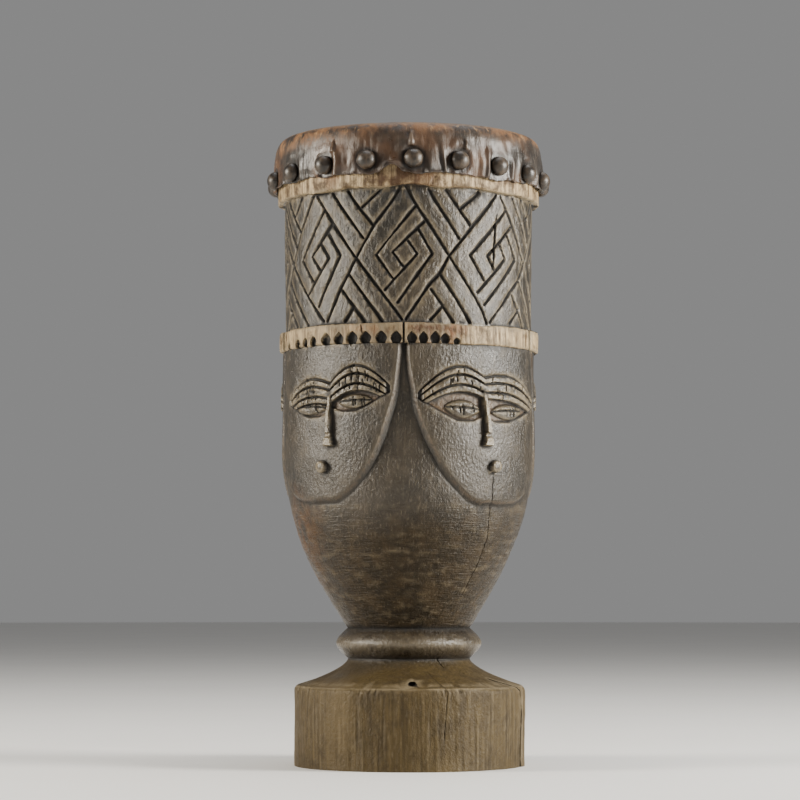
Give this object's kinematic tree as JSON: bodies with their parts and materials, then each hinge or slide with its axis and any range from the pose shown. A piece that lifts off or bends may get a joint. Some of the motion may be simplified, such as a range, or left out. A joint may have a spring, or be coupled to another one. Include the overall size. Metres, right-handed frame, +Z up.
{
  "type": "single-headed drum",
  "caption": "Footed wooden goblet drum with relief mask faces, a carved interlace panel and a rawhide head held by round-headed wooden pegs.",
  "frame": {"origin": "on the drum's axis at the underside of the foot", "axes": "+Z up along the drum's axis, -Y towards the side that the picture shows, between two of the carved faces"},
  "size_m": [0.3138, 0.317, 0.6858],
  "materials": {
    "drum_wood": "dark stained and hand worn, satin on raised carving, browner at the foot, raw tan wood at the collars",
    "rawhide": "stiff dried hide, smoked grey-brown down the side and orange-brown at the rim, glossy on the folds",
    "peg_wood": "dark satin wood, handled smooth"
  },
  "bodies": {
    "root": {"drum_body": "drum_wood", "drum_hide": "rawhide", "peg_01": "peg_wood", "peg_02": "peg_wood", "peg_03": "peg_wood", "peg_04": "peg_wood", "peg_05": "peg_wood", "peg_06": "peg_wood", "peg_07": "peg_wood", "peg_08": "peg_wood", "peg_09": "peg_wood", "peg_10": "peg_wood", "peg_11": "peg_wood", "peg_12": "peg_wood", "peg_13": "peg_wood", "peg_14": "peg_wood", "peg_15": "peg_wood", "peg_16": "peg_wood", "peg_17": "peg_wood", "peg_18": "peg_wood"}
  },
  "joints": []
}
